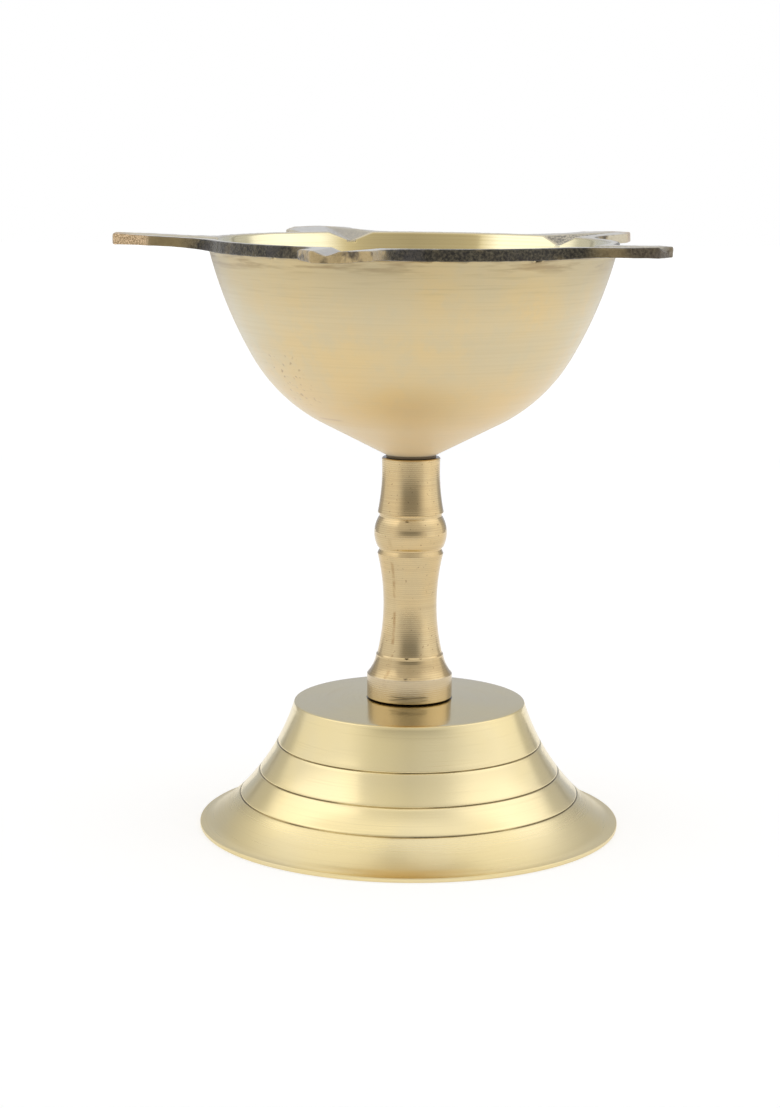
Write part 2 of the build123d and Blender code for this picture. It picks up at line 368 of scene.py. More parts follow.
def rim_outline():
    """Points round the rim and its spouts, and at each how far it is filed, worn and ground."""
    points = []
    finishes = []
    for number, spout in enumerate(SPOUTS):
        tip = SHOULDER + spout.nose
        root = [(ROOT_END - ROOT_ROUND * math.sin(t), ROOT_CENTRE - ROOT_ROUND * math.cos(t))
                for t in np.linspace(math.pi / 2 - ROOT_ANGLE, 0, 22)]
        corners = [root[-1], (SHOULDER, SPOUT_HALF_WIDTH), (tip, SPOUT_TIP_HALF_WIDTH), (tip, 0)]
        half = root[:-1] + spaced(softened(corners, SPOUT_CORNER), OUTLINE_STEP)
        turn = math.radians(spout.direction)
        for x, y in [(x, -y) for x, y in half] + half[-2::-1]:
            points.append(rotated(x, y, turn))
            nose = min(max((x - SHOULDER) / SPOUT_CORNER + 0.5, 0), 1)
            side = min(max((x - ROOT_END) / WORN_BACK + 1, 0), 1 - nose)
            whole = min(max((x - SPOUT_BEND) / (ROOT_END - SPOUT_BEND), 0), 1)
            finishes.append((spout.filed * nose, spout.worn * side, spout.ground * whole))
        following = SPOUTS[(number + 1) % len(SPOUTS)].direction + (360 if number + 1 == len(SPOUTS) else 0)
        first = turn + ROOT_ANGLE
        last = math.radians(following) - ROOT_ANGLE
        count = math.ceil(FLANGE_RADIUS * (last - first) / OUTLINE_STEP)
        for i in range(1, count):
            angle = first + (last - first) * i / count
            points.append((FLANGE_RADIUS * math.cos(angle), FLANGE_RADIUS * math.sin(angle)))
            finishes.append((0.0, 0.0, 0.0))
    return np.array(points), np.array(finishes).T


def spout_places(places, direction):
    """Distances along a spout and across it."""
    turn = math.radians(direction)
    along = places[:, 0] * math.cos(turn) + places[:, 1] * math.sin(turn)
    across = places[:, 1] * math.cos(turn) - places[:, 0] * math.sin(turn)
    return along, across


def bent_up(places, arch):
    """How far the spouts climb above the rim, on their tops or on their arched undersides."""
    climb = np.zeros(len(places))
    for spout in SPOUTS:
        along, across = spout_places(places, spout.direction)
        share = np.clip((along - SPOUT_BEND) / (SPOUT_REACH - SPOUT_BEND), 0, 1)
        here = np.abs(across) < ROOT_CENTRE
        rise = share * (SPOUT_REACH - SPOUT_BEND) * math.tan(math.radians(spout.lift))
        rolled = np.clip(3 * share, 0, 1) * spout.roll * across
        climb += np.where(here, rise + rolled + arch * 4 * share * (1 - share), 0)
    return climb


def trough_depth(places):
    """How deep the wick troughs are below the rim's top."""
    depth = np.zeros(len(places))
    for spout in SPOUTS:
        along, across = spout_places(places, spout.direction + spout.skew)
        floor = TROUGH_DEPTH - (along - FLANGE_RADIUS) * math.tan(math.radians(spout.rise))
        here = floor - np.hypot(TROUGH_SLOPE * across, TROUGH_ROUND)
        depth = np.maximum(depth, np.where(along > 0, here, 0))
    return depth


def as_cast(row, outward, amount):
    """A row of points with the small unevenness of a casting."""
    uneven = [sum(weight * noise.noise(Vector(p) * scale) for weight, scale in CAST_NOISES) for p in row]
    sunk = [noise.noise(Vector(p) * CAST_SINK_SCALE + CAST_SINK_SHIFT) for p in row]
    return row + amount * np.column_stack((outward * np.array(uneven)[:, None], CAST_SINK * np.array(sunk)))


class Cover:
    """Rows of points for a skin, with the shares of its zones at each point."""

    def __init__(self, *zones):
        self.rows = []
        self.zones = {zone: [] for zone in zones}

    def lay(self, places, height, **shares):
        self.rows.append(np.column_stack((places, np.broadcast_to(height, len(places)))))
        for zone, values in self.zones.items():
            values.append(np.broadcast_to(shares.get(zone, 0.0), len(places)))

    def lay_ring(self, ray, radius, height, **shares):
        """A round row, or a pole where the radius is nought."""
        self.lay(radius * ray if radius > 0 else np.zeros((1, 2)), height, **shares)


Rim = namedtuple("Rim", "outline ray outward filed worn ground")


def rim_line():
    """The rim's outline with the ways out from the axis and from the edge, and the finish at each point."""
    outline, (filed, worn, ground) = rim_outline()
    edge = np.roll(outline, -1, 0) - np.roll(outline, 1, 0)
    outward = np.stack((edge[:, 1], -edge[:, 0]), 1) / np.linalg.norm(edge, axis=1)[:, None]
    ray = outline / np.linalg.norm(outline, axis=1)[:, None]
    return Rim(outline, ray, outward, filed, worn, ground)


def bowl_arcs():
    """The arcs of the bowl's outside above its cone: the belly and the wall."""
    belly = Bend(CONE_END, CONE_SLOPE, BELLY)
    return belly, Bend(BELLY, belly.heading(1), (MOUTH_RADIUS, RIM_BOTTOM))


def inner_radius(wall, height):
    """The radius of the bowl's inside above the wall's arc, where it runs straight on."""
    radius, top = wall.at(1, BOWL_WALL)
    lean = 1 / math.tan(wall.heading(1))
    return radius + (height - top) * lean


def top_height(places):
    """The height of the rim's top, with its bent-up spouts and their troughs."""
    return RIM_TOP + bent_up(places, 0) - trough_depth(places)


def lay_outside(cover, rim, belly, wall):
    """The bowl's turned outside, from the bore in its boss up to the rim."""
    profile = [
        (THREAD_BORE, STEM_TOP + BOSS_BORE),
        (THREAD_BORE, STEM_TOP),
        (BOSS_RADIUS, STEM_TOP),
        (BOSS_RADIUS, BOSS_TOP),
        CONE_END,
        *belly.points()[1:],
        *wall.points()[1:],
    ]
    profile = [(0, STEM_TOP + BOSS_BORE), *spaced(softened(profile, STEM_EDGE_ROUND), 1.0)]
    for radius, height in profile:
        cover.lay_ring(rim.ray, radius, height)


def lay_rim_edge(cover, rim):
    """The rim's underside and its cast edge."""
    start = MOUTH_RADIUS * rim.ray
    for share in np.linspace(0, 1, UNDERSIDE_ROWS)[1:]:
        places = start + (rim.outline - RIM_ROUND_BOTTOM * rim.outward - start) * share
        cover.lay(places, RIM_BOTTOM + bent_up(places, ARCH_DEPTH), cast=1.0, filed=rim.filed * share**4)
    low = RIM_BOTTOM + bent_up(rim.outline, ARCH_DEPTH)
    high = top_height(rim.outline)
    shares = {"cast": 1.0, "filed": rim.filed, "worn": rim.worn, "ground": rim.ground}
    inset = EDGE_MIDDLE * RIM_ROUND_BOTTOM
    cover.lay(rim.outline - inset * rim.outward, low + inset, **shares)
    for share in np.linspace(0, 1, EDGE_ROWS):
        height = (low + RIM_ROUND_BOTTOM) * (1 - share) + (high - RIM_ROUND_TOP) * share
        cover.lay(rim.outline, height, **shares)
    inset = EDGE_MIDDLE * RIM_ROUND_TOP
    cover.lay(rim.outline - inset * rim.outward, high - inset, **shares)


def lay_rim_top(cover, rim, wall):
    """The rim's flat top with the troughs in it, as far as the bowl's lip, whose heights it gives."""
    start = rim.outline - RIM_ROUND_TOP * rim.outward
    inner_edge = inner_radius(wall, RIM_TOP) * rim.ray
    for share in np.linspace(0, 1, TOP_ROWS):
        places = start + (inner_edge + RIM_ROUND_TOP * rim.ray - start) * share
        cover.lay(
            places,
            top_height(places),
            cast=max(0.0, 1 - CAST_FADE * share),
            filed=rim.filed * (1 - share) ** 3,
            ground=rim.ground,
            top=1.0,
            trough=np.clip(trough_depth(places) / TROUGH_FADE, 0, 1),
        )
    lip = top_height(inner_edge)
    inset = EDGE_MIDDLE * RIM_ROUND_TOP
    cover.lay((inner_radius(wall, lip) + inset)[:, None] * rim.ray, lip - inset, top=1.0, inner=0.5)
    return lip


def lay_inside(cover, rim, belly, wall, lip):
    """The bowl's polished inside, from its lip down to its floor."""
    mouth_height = wall.at(1, BOWL_WALL)[1]
    for share in np.linspace(0, 1, LIP_ROWS):
        height = (lip - RIM_ROUND_TOP) * (1 - share) + mouth_height * share
        cover.lay(inner_radius(wall, height)[:, None] * rim.ray, height, inner=1.0)
    profile = wall.points(1, 0, BOWL_WALL)[1:] + belly.points(1, 0, BOWL_WALL)[1:]
    cone_radius, cone_height = profile[-1]
    for radius in range(INNER_CONE_RINGS, -1, -1):
        profile.append((radius, cone_height - (cone_radius - radius) * math.tan(CONE_SLOPE)))
    for radius, height in profile:
        near = max(FLOOR_BLEND - abs(height - BOWL_FLOOR), 0) / FLOOR_BLEND
        height = max(height, BOWL_FLOOR) + near * near * FLOOR_BLEND / 4
        cover.lay_ring(rim.ray, radius, height, inner=1.0)


def bowl_piece():
    """The bowl: turned outside, cast rim with five grooved spouts, polished inside."""
    rim = rim_line()
    belly, wall = bowl_arcs()
    cover = Cover("cast", "filed", "worn", "ground", "inner", "top", "trough")
    lay_outside(cover, rim, belly, wall)
    lay_rim_edge(cover, rim)
    lip = lay_rim_top(cover, rim, wall)
    lay_inside(cover, rim, belly, wall, lip)
    for number, row in enumerate(cover.rows):
        cast = cover.zones["cast"][number]
        if cast.max() > 0:
            row = as_cast(row, rim.outward, CAST_ROUGHNESS * cast[:, None])
            cover.rows[number] = row
        weight = np.clip((row[:, 2] - STEM_TOP) / (RIM_TOP - STEM_TOP), 0, 1) ** 2
        tilt = RIM_LEAN[0] * (row[:, 0] - FLANGE_RADIUS) + RIM_LEAN[1] * (row[:, 1] + FLANGE_RADIUS)
        row[:, 2] += weight * tilt
    return skin("bowl_cast", cover.rows, cover.zones)


def stud_piece(name, node):
    """A stud with a right-hand thread and chamfered ends."""
    low, high = heights(node)
    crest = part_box(node)[1].x / MM
    angle = np.arange(THREAD_COLUMNS) * math.tau / THREAD_COLUMNS
    rows = [np.array([[0.0, 0.0, low]])]
    count = round((high - low) / THREAD_PITCH * THREAD_ROWS)
    for i in range(count + 1):
        height = low + (high - low) * i / count
        phase = (height / THREAD_PITCH - angle / math.tau) % 1.0
        depth = np.clip(THREAD_STEEPNESS * np.abs(phase - 0.5) - THREAD_CREST, 0, 1) * THREAD_DEPTH
        end = min(height - low, high - height)
        radius = np.minimum(crest - depth, crest - THREAD_DEPTH + end)
        rows.append(np.stack((radius * np.cos(angle), radius * np.sin(angle), 0 * angle + height), 1))
    rows.append(np.array([[0.0, 0.0, high]]))
    return skin(name, rows, {})


class Finish:
    """A material and short calls for the nodes that its finish is made of."""

    def __init__(self, name):
        self.material = bpy.data.materials.new(name)
        self.material.use_nodes = True
        self.tree = self.material.node_tree
        self.tree.nodes.clear()
        self.shader = self.add("ShaderNodeBsdfPrincipled")
        output = self.add("ShaderNodeOutputMaterial")
        self.link(self.shader.outputs["BSDF"], output.inputs["Surface"])

    def add(self, kind, **settings):
        node = self.tree.nodes.new(kind)
        for key, value in settings.items():
            setattr(node, key, value)
        return node

    def link(self, source, target):
        self.tree.links.new(source, target)

    def feed(self, node, *values):
        """Sets each input, in order, to a number or links it to another node's output."""
        for socket, value in zip(node.inputs, values):
            if isinstance(value, bpy.types.NodeSocket):
                self.link(value, socket)
            elif value is not None:
                socket.default_value = value

    def math(self, operation, *values, clamp=False):
        node = self.add("ShaderNodeMath", operation=operation, use_clamp=clamp)
        self.feed(node, *values)
        return node.outputs[0]

    def product(self, *values):
        result = values[0]
        for value in values[1:]:
            result = self.math("MULTIPLY", result, value)
        return result

    def vector(self, *values):
        node = self.add("ShaderNodeCombineXYZ")
        self.feed(node, *values)
        return node.outputs[0]

    def zone(self, name):
        """A share that the mesh holds at its points."""
        return self.add("ShaderNodeAttribute", attribute_name=name).outputs["Fac"]

    def place(self):
        """The object's own coordinates in millimetres, whole and apart as x, y and z."""
        coordinates = self.add("ShaderNodeTexCoord")
        scaled = self.add("ShaderNodeVectorMath", operation="SCALE")
        scaled.inputs["Scale"].default_value = 1 / MM
        self.link(coordinates.outputs["Object"], scaled.inputs[0])
        apart = self.add("ShaderNodeSeparateXYZ")
        self.link(scaled.outputs[0], apart.inputs[0])
        return scaled.outputs[0], apart.outputs[0], apart.outputs[1], apart.outputs[2]

    def from_axis(self, x, y):
        """How far a place is from the z axis."""
        return self.math("SQRT", self.math("ADD", self.product(x, x), self.product(y, y)))

    def noise(self, vector, scale, detail=2.0, roughness=0.5):
        node = self.add("ShaderNodeTexNoise")
        self.link(vector, node.inputs["Vector"])
        node.inputs["Scale"].default_value = scale
        node.inputs["Detail"].default_value = detail
        node.inputs["Roughness"].default_value = roughness
        return node.outputs["Fac"]

    def span(self, value, low, high, to_low=0.0, to_high=1.0):
        """A value taken from one range to another, smoothly and kept inside it."""
        node = self.add("ShaderNodeMapRange", interpolation_type="SMOOTHSTEP")
        self.feed(node, value, low, high, to_low, to_high)
        return node.outputs[0]

    def band(self, value, middle, half, soft):
        """One within a band of values, falling softly to nought on both sides."""
        away = self.math("ABSOLUTE", self.math("SUBTRACT", value, middle))
        return self.span(away, half, half + soft, 1.0, 0.0)

    def mix(self, share, first, second):
        node = self.add("ShaderNodeMix", data_type="RGBA")
        for name, value in (("Factor_Float", share), ("A_Color", first), ("B_Color", second)):
            socket = next(s for s in node.inputs if s.identifier == name)
            if isinstance(value, bpy.types.NodeSocket):
                self.link(value, socket)
            else:
                socket.default_value = value if name == "Factor_Float" else (*value, 1)
        return next(s for s in node.outputs if s.identifier == "Result_Color")

    def bump(self, height, depth, under=None):
        """The normal over a height that is counted in depths, and a depth in millimetres."""
        node = self.add("ShaderNodeBump")
        node.inputs["Distance"].default_value = depth * MM
        self.link(height, node.inputs["Height"])
        if under is not None:
            self.link(under, node.inputs["Normal"])
        return node.outputs["Normal"]

    def paint(self, color=None, roughness=None, normal=None, metallic=1.0, **constants):
        shader = self.shader.inputs
        for name, value in (
            ("Base Color", color), ("Roughness", roughness), ("Normal", normal), ("Metallic", metallic)
        ):
            if isinstance(value, bpy.types.NodeSocket):
                self.link(value, shader[name])
            elif value is not None:
                shader[name].default_value = value
        for name, value in constants.items():
            shader[name.replace("_", " ").title()].default_value = value
        return self.material


class Turned(Finish):
    """A finish on a piece that was turned on a lathe, with marks that run round its axis."""

    def __init__(self, name, slant):
        super().__init__(name)
        self.position, self.x, self.y, self.z = self.place()
        self.radius = self.from_axis(self.x, self.y)
        self.along = self.math("ADD", self.z, self.product(self.radius, slant))
        self.azimuth = self.math("ARCTAN2", self.x, self.product(self.y, -1.0))

    def marks(self, per_mm, around, detail=2.0):
        """Noise drawn out round the axis, with so many marks to a millimetre of the profile."""
        share_x = self.product(self.math("DIVIDE", self.x, self.radius), around)
        share_y = self.product(self.math("DIVIDE", self.y, self.radius), around)
        return self.noise(self.vector(self.product(self.along, per_mm), share_x, share_y), 1.0, detail)


def base_brass():
    """Bright brushed brass, duller on the lip, with darker ring bottoms, painted shade round the stem's
    collar and a rough hollow.
    """
    finish = Turned("base_brass", -0.7)
    hollow = finish.zone("hollow")
    cloud = finish.noise(finish.position, 0.045, 3.0)
    brushed = finish.marks(3.2, 1.2, 3.0)
    fine = finish.marks(9.0, 5.0)
    grain = finish.noise(finish.position, 1.6, 3.0)
    tint = finish.mix(finish.span(cloud, 0.35, 0.65), (0.84, 0.70, 0.38), (0.81, 0.69, 0.41))
    tint = finish.mix(finish.span(brushed, 0.55, 0.8, 0.0, 0.3), tint, (0.68, 0.54, 0.28))
    tint = finish.mix(hollow, tint, finish.mix(grain, (0.30, 0.22, 0.11), (0.46, 0.34, 0.17)))
    # The darker ring bottoms and the painted shade round the collar's seat darken the tint here.
    tint = finish.mix(dark_rings_and_seat_shade(finish), tint, (0.10, 0.075, 0.04))
    smooth = finish.span(brushed, 0.25, 0.75, 0.13, 0.20)
    smooth = finish.math("ADD", smooth, finish.span(finish.z, *BASE_DULL_HEIGHTS, 0.14, 0.0))
    relief = finish.bump(brushed, 0.0012, finish.bump(fine, 0.0006))
    relief = finish.bump(finish.product(hollow, grain), 0.12, relief)
    return finish.paint(
        color=tint,
        roughness=finish.span(hollow, 0.0, 1.0, smooth, 0.5),
        normal=relief,
        anisotropic=0.35,
    )


def dark_rings_and_seat_shade(finish):
    """Darker bottoms in the base's rings, and a painted shadow ring where the stem's collar meets the
    base's top.
    """
    bell = Bend(BASE_TOP, -math.radians(BASE_STEEPNESS), BASE_FLARE)
    worn = finish.span(finish.noise(finish.position, 0.06, 2.0), 0.4, 0.6, 0.2, 0.7)
    # Painted shadow: a dark ring on the base's top, right round the stem's collar.
    total = finish.product(
        finish.band(finish.radius, COLLAR_RADIUS - 0.2, 0.2, 0.25),
        finish.span(finish.z, BASE_SEAT - 0.3, BASE_SEAT - 0.1, 0.0, 0.85),
    )
    for place in RING_PLACES:
        radius, height = bell.at(place, -0.75 * RING_DEPTH)
        away = finish.math("ABSOLUTE", finish.math("SUBTRACT", finish.radius, radius))
        off = finish.math("ABSOLUTE", finish.math("SUBTRACT", finish.z, height))
        ring = finish.span(finish.math("ADD", away, off), 0.18, 0.34, 1.0, 0.0)
        total = finish.math("MAXIMUM", total, finish.product(ring, worn))
    return total


def stem_brass():
    """Turned brass with feed rings and tool marks, stains, a cone darkened with painted shade, a dull,
    scuffed collar and painted shade at its joints.
    """
    finish = Turned("stem_brass", 0.0)
    cloud = finish.noise(finish.position, 0.12, 3.0)
    lines = finish.marks(5.0, 0.25, 1.0)
    tool = finish.marks(1.6, 2.6, 3.0)
    feed = finish.math("SINE", finish.product(finish.z, math.tau / FEED_RING))
    rings = finish.product(finish.span(feed, 0.0, 1.0), finish.span(cloud, 0.3, 0.7, 0.1, 0.35))
    collar = finish.span(finish.z, COLLAR_TOP, COLLAR_TOP + 0.3, 1.0, 0.0)
    tint = finish.mix(finish.span(cloud, 0.35, 0.65), (0.66, 0.495, 0.26), (0.62, 0.49, 0.28))
    tint = finish.mix(finish.span(lines, 0.45, 0.7, 0.0, 0.3), tint, (0.46, 0.33, 0.18))
    tint = finish.mix(finish.span(tool, 0.6, 0.8, 0.0, 0.2), tint, (0.44, 0.29, 0.15))
    tint = finish.mix(rings, tint, (0.44, 0.32, 0.17))
    tint = stains_and_cone_shade(finish, tint)
    tint = finish.mix(finish.product(collar, 0.5), tint, (0.58, 0.50, 0.37))
    # The scuff and the painted shade at the stem's joints darken the tint here.
    tint = finish.mix(finish.product(scuff_and_joint_shade(finish), 0.8), tint, (0.06, 0.045, 0.025))
    return finish.paint(
        color=tint,
        roughness=finish.span(collar, 0.0, 1.0, finish.span(lines, 0.25, 0.75, 0.11, 0.19), 0.24),
        normal=finish.bump(feed, 0.0012, finish.bump(lines, 0.004, finish.bump(tool, 0.004))),
        anisotropic=0.4,
    )


def stains_and_cone_shade(finish, tint):
    """A tint with a broken brown streak on the left, pits, and a cone browned with painted shade."""
    streak = finish.product(
        finish.band(finish.azimuth, STREAK_AZIMUTH, 0.015, 0.08),
        finish.band(finish.z, STREAK_HEIGHT, 7.0, 16.0),
        finish.span(finish.noise(finish.position, 0.45, 4.0), 0.42, 0.62, 0.05, 0.6),
    )
    tint = finish.mix(streak, tint, (0.36, 0.22, 0.09))
    pits = finish.span(finish.noise(finish.position, 1.6, 1.0), 0.70, 0.76)
    tint = finish.mix(finish.product(pits, 0.6), tint, (0.24, 0.15, 0.07))
    # Painted shade: the cone is browned to stand in for the darker studio that it reflects.
    painted_cone_shade = finish.band(finish.z, (COLLAR_TOP + CONE_TOP) / 2, 1.7, 0.5)
    return finish.mix(finish.product(painted_cone_shade, 0.2), tint, (0.30, 0.21, 0.10))


def scuff_and_joint_shade(finish):
    """A dark scuff on the collar's front, and painted shade where the stem meets the base and the bowl."""
    scuff = finish.product(
        finish.band(finish.z, SCUFF_HEIGHT, 0.7, 0.5),
        finish.band(finish.azimuth, SCUFF_AZIMUTH, 0.35, 0.2),
        finish.span(finish.marks(4.0, 1.5), 0.45, 0.6, 0.0, 0.8),
    )
    # Painted shade at the stem's foot, where it sits on the base.
    foot = finish.band(finish.z, STEM_FOOT, 0.15, 0.3)
    # Painted shade, with some dirt, on the stem's top face under the bowl's boss.
    crown = finish.span(finish.z, STEM_TOP - 0.12, STEM_TOP - 0.02)
    return finish.math("MAXIMUM", finish.math("MAXIMUM", scuff, foot), crown)


def bowl_brass():
    """The bowl's finishes by zone: satin outside, polished inside, greyish rim top and rough cast edge."""
    finish = Turned("bowl_brass", 0.7)
    cast = finish.zone("cast")
    inner = finish.zone("inner")
    top = finish.zone("top")
    lines = finish.marks(2.6, 0.9, 3.0)
    elsewhere = finish.math("ADD", cast, finish.math("ADD", inner, top))
    outside = finish.math("SUBTRACT", 1.0, elsewhere, clamp=True)
    lower = finish.product(outside, finish.span(finish.z, BOSS_TOP + 3, BOSS_TOP + 22, 1.0, 0.0))

    tint, relief = turned_outside(finish, lines)
    smooth = finish.math("ADD", finish.span(lines, 0.25, 0.75, 0.33, 0.42), finish.product(lower, 0.15))
    tint = finish.mix(inner, tint, polished_inside(finish, lines))
    smooth = finish.span(inner, 0.0, 1.0, smooth, finish.span(lines, 0.25, 0.75, 0.06, 0.11))
    tint = finish.mix(top, tint, rim_top(finish))
    smooth = finish.span(top, 0.0, 1.0, smooth, 0.28)
    rough = finish.noise(finish.position, 1.8, 4.0, 0.6)
    tint = finish.mix(cast, tint, cast_skin(finish, rough))
    smooth = finish.span(cast, 0.0, 1.0, smooth, 0.5)
    relief = finish.bump(finish.product(cast, rough), 0.18, relief)
    satin = finish.math("ADD", finish.product(outside, 0.28), finish.product(lower, 0.4))
    matt = finish.math("MAXIMUM", finish.product(cast, 0.3), satin)
    return finish.paint(
        color=tint,
        roughness=smooth,
        normal=relief,
        metallic=finish.math("SUBTRACT", 1.0, matt),
        anisotropic=0.3,
        sheen_weight=0.6,
        sheen_roughness=0.35,
    )


def turned_outside(finish, lines):
    """Satin brass with clouds, a grey patina with painted pale reflection on its sides, painted shade and
    brown smudges under the rim, pits, a scratch, a painted lighter underside and painted shade on the boss.
    """
    cloud = finish.noise(finish.position, 0.05, 3.0)
    mottle = finish.noise(finish.position, 0.28, 5.0, 0.6)
    streaks = finish.marks(1.5, 3.0, 3.0)
    smudge = finish.marks(0.7, 4.0, 4.0)
    under_rim = finish.span(finish.z, RIM_BOTTOM - 14, RIM_BOTTOM - 1)
    tint = finish.mix(finish.span(cloud, 0.3, 0.7), (0.74, 0.56, 0.28), (0.66, 0.555, 0.35))
    tint = finish.mix(finish.span(lines, 0.42, 0.7, 0.0, 0.10), tint, (0.52, 0.40, 0.22))
    tint = finish.mix(finish.span(mottle, 0.45, 0.65, 0.0, 0.35), tint, (0.62, 0.54, 0.36))
    # A patchy grey patina on the sides, which also paints the paler reflection on the bowl's sides.
    patina_and_sheen = finish.span(finish.math("ABSOLUTE", finish.azimuth), *PATINA_AND_SHEEN_AZIMUTHS, 0.0, 0.5)
    patina_and_sheen = finish.product(patina_and_sheen, finish.span(mottle, 0.35, 0.6, 0.5, 1.0))
    tint = finish.mix(patina_and_sheen, tint, (0.63, 0.58, 0.42))
    # Painted shade under the rim's overhang, with some patina.
    tint = finish.mix(finish.product(under_rim, 0.5), tint, (0.50, 0.41, 0.23))
    drawn = finish.product(finish.span(streaks, 0.5, 0.75), under_rim, 0.3)
    tint = finish.mix(drawn, tint, (0.38, 0.30, 0.17))
    # Painted shadow just below the rim, broken up by brown smudges.
    close = finish.span(finish.z, RIM_BOTTOM - 3.4, RIM_BOTTOM - 1.0)
    shade_and_smudges = finish.product(close, finish.span(smudge, 0.45, 0.65, 0.0, 0.55))
    tint = finish.mix(shade_and_smudges, tint, (0.26, 0.17, 0.08))
    pits, scratch = outside_marks(finish)
    tint = finish.mix(finish.product(finish.math("MAXIMUM", pits, scratch), 0.6), tint, (0.26, 0.13, 0.08))
    # Painted light: the underside is made warmer and lighter in place of the dark reflection it picks up.
    underside_light = finish.span(finish.z, BOSS_TOP + 8, BOSS_TOP + 26, 0.6, 0.0)
    tint = finish.mix(underside_light, tint, (0.80, 0.59, 0.30))
    # Painted shade, with some dirt, on the boss in the recess where the bowl sits on the stem.
    boss_shade = finish.span(finish.z, BOSS_TOP - 0.1, BOSS_TOP + 0.4, 0.85, 0.0)
    tint = finish.mix(boss_shade, tint, (0.06, 0.04, 0.02))
    relief = finish.bump(lines, 0.004, finish.bump(finish.product(under_rim, streaks), 0.006))
    return tint, finish.bump(pits, -0.03, relief)


def outside_marks(finish):
    """A few pits low on the left, and a scratch below them."""
    pitted = finish.product(
        finish.band(finish.azimuth, PITS_AZIMUTH, 0.1, 0.2),
        finish.band(finish.z, PITS_HEIGHT, 3.0, 6.0),
    )
    pits = finish.product(finish.span(finish.noise(finish.position, 1.0, 1.0), 0.64, 0.7), pitted)
    scratch = finish.product(
        finish.band(finish.z, SCRATCH_HEIGHT, 0.1, 0.2),
        finish.band(finish.azimuth, SCRATCH_AZIMUTH, 0.1, 0.1),
    )
    return pits, scratch


def polished_inside(finish, lines):
    """Bright turned brass, browned at the back with painted shade."""
    bright = finish.mix(finish.span(lines, 0.4, 0.7), (0.87, 0.80, 0.54), (0.80, 0.72, 0.46))
    brown = finish.mix(lines, (0.62, 0.51, 0.26), (0.50, 0.39, 0.18))
    # Painted reflection: the back of the inside is browned for the dark side of the studio that it
    # reflects.
    back = finish.span(finish.math("ABSOLUTE", finish.azimuth), *BACK_SHADE_AZIMUTHS)
    return finish.mix(back, bright, brown)


def rim_top(finish):
    """Greyish flat tops, and troughs with specks of the cast skin left in them."""
    grain = finish.noise(finish.position, 0.5, 4.0)
    specks = finish.span(finish.noise(finish.position, 1.9, 4.0, 0.6), 0.42, 0.56)
    specks = finish.product(specks, finish.span(finish.x, *SPECKS_ACROSS, 0.25, 1.0))
    flat = finish.mix(grain, (0.54, 0.49, 0.37), (0.69, 0.62, 0.46))
    groove = finish.mix(grain, (0.40, 0.35, 0.26), (0.60, 0.54, 0.40))
    groove = finish.mix(finish.product(specks, 0.85), groove, (0.04, 0.036, 0.034))
    return finish.mix(finish.zone("trough"), flat, groove)


def cast_skin(finish, rough):
    """The rough cast edge: dark mottled skin, tan in patches, and filed, worn or ground off on spouts."""
    patch = finish.noise(finish.position, 0.15, 2.0)
    blotch = finish.noise(finish.position, 0.4, 2.0)
    speck = finish.noise(finish.position, 4.0, 2.0, 0.6)
    ground = finish.zone("ground")
    tint = finish.mix(finish.span(rough, 0.35, 0.75), (0.030, 0.026, 0.021), (0.135, 0.116, 0.076))
    tint = finish.mix(finish.span(patch, 0.54, 0.68, 0.0, 0.5), tint, (0.28, 0.22, 0.12))
    tint = finish.mix(finish.span(patch, 0.46, 0.34, 0.0, 0.5), tint, (0.085, 0.077, 0.077))
    tint = finish.mix(finish.span(speck, 0.54, 0.66, 0.0, 0.7), tint, (0.014, 0.012, 0.010))
    tan = finish.mix(rough, (0.36, 0.26, 0.12), (0.60, 0.47, 0.25))
    pale = finish.mix(rough, (0.50, 0.44, 0.32), (0.72, 0.66, 0.52))
    pale = finish.mix(finish.span(ground, 0.72, 0.9), tan, pale)
    bare = finish.math("MULTIPLY_ADD", finish.math("SUBTRACT", ground, 0.62), 0.6, blotch)
    bare = finish.product(finish.span(bare, 0.36, 0.6), finish.span(ground, 0.2, 0.5))
    tint = finish.mix(bare, tint, pale)
    worn = finish.mix(blotch, (0.22, 0.155, 0.07), (0.40, 0.31, 0.15))
    tint = finish.mix(finish.zone("worn"), tint, worn)
    filed = finish.mix(finish.span(speck, 0.40, 0.62), (0.30, 0.20, 0.10), (0.78, 0.58, 0.36))
    return finish.mix(finish.zone("filed"), tint, filed)


def fastener_steel():
    """Dull steel with a few brown spots."""
    finish = Finish("fastener_steel")
    position, *_ = finish.place()
    cloud = finish.noise(position, 0.3, 3.0)
    spots = finish.noise(position, 1.4, 4.0)
    tint = finish.mix(cloud, (0.52, 0.51, 0.48), (0.42, 0.41, 0.37))
    return finish.paint(
        color=finish.mix(finish.span(spots, 0.58, 0.75, 0.0, 0.5), tint, (0.20, 0.15, 0.10)),
        roughness=finish.span(cloud, 0.3, 0.7, 0.26, 0.4),
        normal=finish.bump(spots, 0.01),
    )


def dress(name, material):
    """Gives a node of the model its finish."""
    slots = nodes[name].data.materials
    slots.clear()
    slots.append(material)


